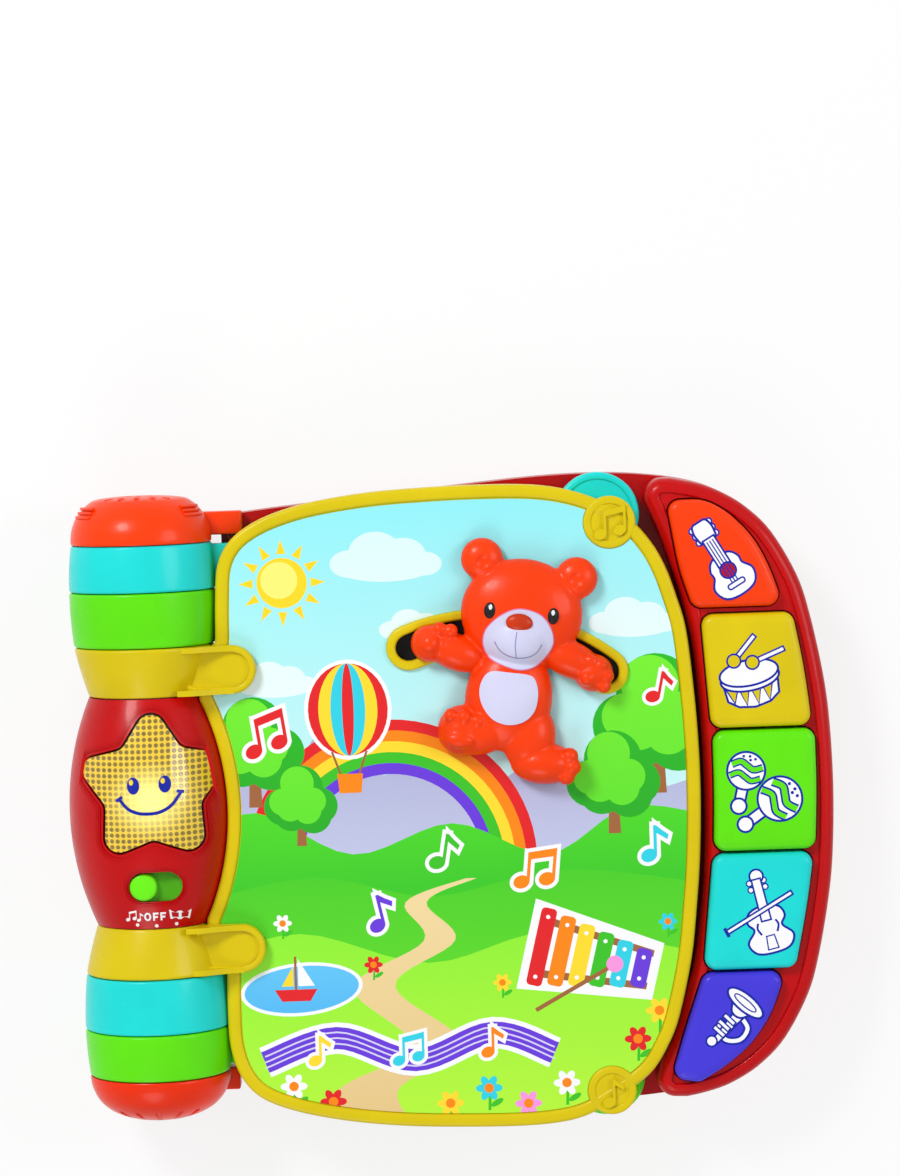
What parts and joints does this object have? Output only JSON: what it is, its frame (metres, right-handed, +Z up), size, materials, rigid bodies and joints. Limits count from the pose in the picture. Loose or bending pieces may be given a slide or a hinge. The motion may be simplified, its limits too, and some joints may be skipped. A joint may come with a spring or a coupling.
{
  "type": "sound book",
  "caption": "Toy sound book lying on its back: raised key panel, round spine with a star light, picture cover with a sliding teddy, and rigid pages that turn on rings.",
  "frame": {"origin": "bottom centre of the bounding box, on the face that the book lies on", "axes": "+X from the spine to the keys, +Y to the top of the book, +Z up out of the cover"},
  "size_m": [0.2747, 0.2338, 0.058],
  "materials": {
    "red_plastic": "gloss moulded",
    "orange_plastic": "gloss moulded",
    "orange_red_plastic": "gloss moulded",
    "yellow_plastic": "gloss moulded",
    "green_plastic": "gloss moulded",
    "cyan_plastic": "gloss moulded",
    "violet_plastic": "gloss moulded",
    "lens_plastic": "translucent, dimpled",
    "dark_green_plastic": "gloss moulded",
    "black_plastic": "matte moulded",
    "grey_plastic": "matte moulded",
    "board": "lacquered board",
    "pad_rubber": "matte",
    "steel": "plated",
    "battery_wrap": "printed sleeve",
    "cover_picture": "satin printed sheet",
    "page_picture": "satin printed sheet",
    "deck_print": "satin printed sheet"
  },
  "bodies": {
    "root": {"base_tray": "red_plastic", "base_panel": "red_plastic", "base_print": "deck_print", "battery_door": "red_plastic", "door_screw": "steel", "battery_upper": "battery_wrap", "battery_lower": "battery_wrap", "contact_left": "steel", "contact_right": "steel", "circuit_board": "board", "key_pad": "pad_rubber", "spine_front": "red_plastic", "spine_core": "grey_plastic", "star_lens": "lens_plastic", "light_board": "board", "speaker": "black_plastic", "switch_plate": "dark_green_plastic", "top_cap": "orange_plastic", "bottom_cap": "orange_red_plastic", "case_screw_1": "steel", "case_screw_2": "steel", "case_screw_3": "steel", "case_screw_4": "steel", "case_screw_5": "steel", "case_screw_6": "steel"},
    "cover": {"cover_front": "yellow_plastic", "cover_back": "yellow_plastic", "slot_track": "black_plastic", "cover_print": "cover_picture", "cover_back_print": "page_picture", "cover_ring_top": "yellow_plastic", "cover_ring_bottom": "yellow_plastic"},
    "teddy": {"teddy": "orange_plastic", "teddy_carrier": "orange_plastic"},
    "page_two": {"page_two": "cyan_plastic", "page_two_front_print": "page_picture", "page_two_back_print": "page_picture"},
    "page_three": {"page_three": "green_plastic", "page_three_front_print": "page_picture", "page_three_back_print": "page_picture"},
    "key_orange": {"key_orange": "orange_plastic"},
    "key_yellow": {"key_yellow": "yellow_plastic"},
    "key_green": {"key_green": "green_plastic"},
    "key_cyan": {"key_cyan": "cyan_plastic"},
    "key_violet": {"key_violet": "violet_plastic"},
    "switch_knob": {"switch_knob": "green_plastic"}
  },
  "joints": [
    {"name": "cover_hinge", "type": "hinge", "parent": "root", "child": "cover", "pos_m": [-0.1082, 0, 0.0295], "axis": [0, -1, 0], "range_deg": [0, 180]},
    {"name": "page_two_hinge", "type": "hinge", "parent": "root", "child": "page_two", "pos_m": [-0.1082, 0, 0.0295], "axis": [0, -1, 0], "range_deg": [0, 180]},
    {"name": "page_three_hinge", "type": "hinge", "parent": "root", "child": "page_three", "pos_m": [-0.1082, 0, 0.0295], "axis": [0, -1, 0], "range_deg": [0, 180]},
    {"name": "teddy_swing", "type": "hinge", "parent": "cover", "child": "teddy", "pos_m": [0.0123, -0.0086, 0.04], "axis": [0, 0, 1], "range_deg": [-18, 18]},
    {"name": "key_orange_press", "type": "slide", "parent": "root", "child": "key_orange", "axis": [0, 0, -1], "range_m": [0, 0.0025], "stiffness_N_per_m": 600, "springref_m": -0.001},
    {"name": "key_yellow_press", "type": "slide", "parent": "root", "child": "key_yellow", "axis": [0, 0, -1], "range_m": [0, 0.0025], "stiffness_N_per_m": 600, "springref_m": -0.001},
    {"name": "key_green_press", "type": "slide", "parent": "root", "child": "key_green", "axis": [0, 0, -1], "range_m": [0, 0.0025], "stiffness_N_per_m": 600, "springref_m": -0.001},
    {"name": "key_cyan_press", "type": "slide", "parent": "root", "child": "key_cyan", "axis": [0, 0, -1], "range_m": [0, 0.0025], "stiffness_N_per_m": 600, "springref_m": -0.001},
    {"name": "key_violet_press", "type": "slide", "parent": "root", "child": "key_violet", "axis": [0, 0, -1], "range_m": [0, 0.0025], "stiffness_N_per_m": 600, "springref_m": -0.001},
    {"name": "switch_slide", "type": "slide", "parent": "root", "child": "switch_knob", "axis": [1, 0, 0], "range_m": [0, 0.007]}
  ],
  "couplings": [
    {"joint": "page_two_hinge", "follows": "cover_hinge", "ratio": 0.66667},
    {"joint": "page_three_hinge", "follows": "cover_hinge", "ratio": 0.33333}
  ]
}
